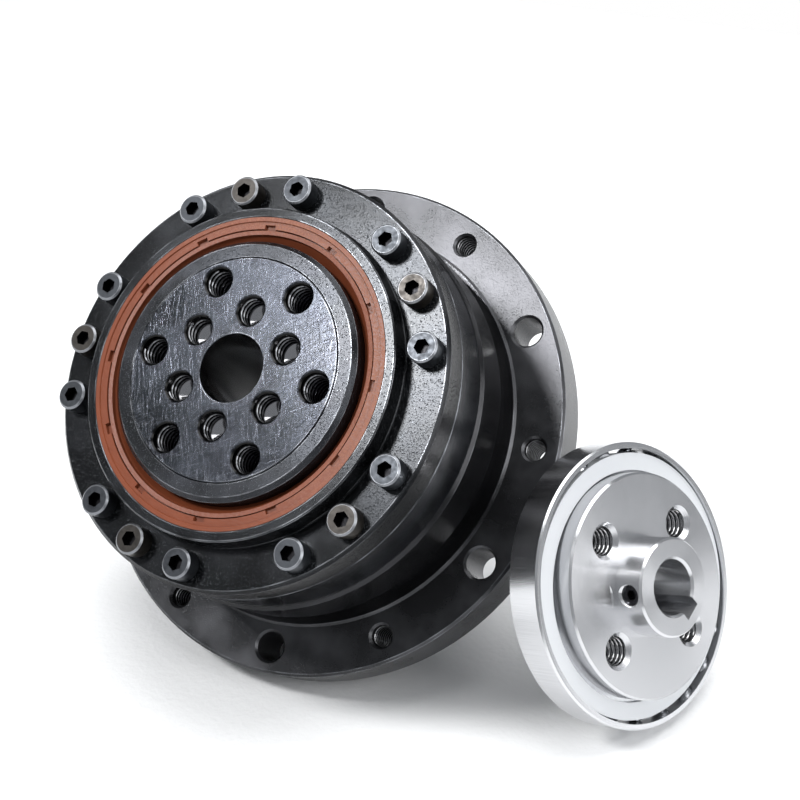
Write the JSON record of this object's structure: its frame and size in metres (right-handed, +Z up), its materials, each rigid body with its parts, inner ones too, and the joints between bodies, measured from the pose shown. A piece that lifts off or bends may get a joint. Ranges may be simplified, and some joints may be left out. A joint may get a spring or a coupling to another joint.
{
  "type": "strain wave gear",
  "caption": "Cup-type strain wave gear unit with crossed-roller output bearing and round mounting flange; the oval wave generator stands beside it, leaning on the flange.",
  "frame": {"origin": "centre of the mounting flange's rear face, on the output axis", "axes": "+Z up from the table that the unit stands on; the output axis leans forward in the Y-Z plane, pointing towards -Y and +Z; +X towards the wave generator that leans on the flange"},
  "size_m": [0.1028, 0.074, 0.075],
  "materials": {
    "black_oxide_steel": "black oxide over ground and turned steel, lightly oiled",
    "dark_steel": "dark screws and toothed ring, thin oxide",
    "spring_steel": "thin-walled heat-treated steel",
    "ground_steel": "ground bearing steel",
    "turned_steel": "bright turned steel with fine radial sheen",
    "seal_rubber": "rust-brown moulded rubber with a dusty band",
    "white_nylon": "white moulded nylon"
  },
  "bodies": {
    "housing": {"housing": "black_oxide_steel", "circular_spline": "dark_steel", "spline_screws": "dark_steel", "spline_dowels": "ground_steel", "rear_bearing_ring": "black_oxide_steel", "front_bearing_ring": "black_oxide_steel", "case_screws": "dark_steel", "oil_seal": "seal_rubber", "seal_garter_spring": "ground_steel"},
    "output": {"output_flange": "black_oxide_steel", "bearing_inner_ring": "black_oxide_steel", "flexspline": "spring_steel", "flexspline_clamp": "dark_steel", "flexspline_screws": "dark_steel"},
    "rollers": {"bearing_rollers": "ground_steel", "roller_spacers": "white_nylon"},
    "generator_race": {"wave_outer_race": "ground_steel"},
    "generator": {"generator_plug": "turned_steel", "hub_set_screw": "dark_steel", "wave_inner_race": "ground_steel"},
    "ball_cage": {"wave_cage": "white_nylon", "wave_balls": "ground_steel"}
  },
  "joints": [
    {"name": "output_turn", "type": "hinge", "parent": "housing", "child": "output", "pos_m": [0, 0, 0], "axis": [0, -0.766, 0.6428], "continuous": true},
    {"name": "rollers_turn", "type": "hinge", "parent": "housing", "child": "rollers", "pos_m": [0, 0, 0], "axis": [0, -0.766, 0.6428], "continuous": true},
    {"name": "generator_lift", "type": "slide", "parent": "housing", "child": "generator_race", "axis": [0.8745, -0.2541, 0.4131], "range_m": [0, 0.03]},
    {"name": "generator_turn", "type": "hinge", "parent": "generator_race", "child": "generator", "pos_m": [0.05318, -0.00379, -0.00822], "axis": [0.8745, -0.2541, 0.4131], "continuous": true, "deforming": ["wave_outer_race", "wave_balls"]},
    {"name": "cage_turn", "type": "hinge", "parent": "generator_race", "child": "ball_cage", "pos_m": [0.05318, -0.00379, -0.00822], "axis": [0.8745, -0.2541, 0.4131], "continuous": true}
  ],
  "couplings": [
    {"joint": "rollers_turn", "follows": "output_turn", "ratio": 0.47724},
    {"joint": "cage_turn", "follows": "generator_turn", "ratio": 0.45955}
  ]
}
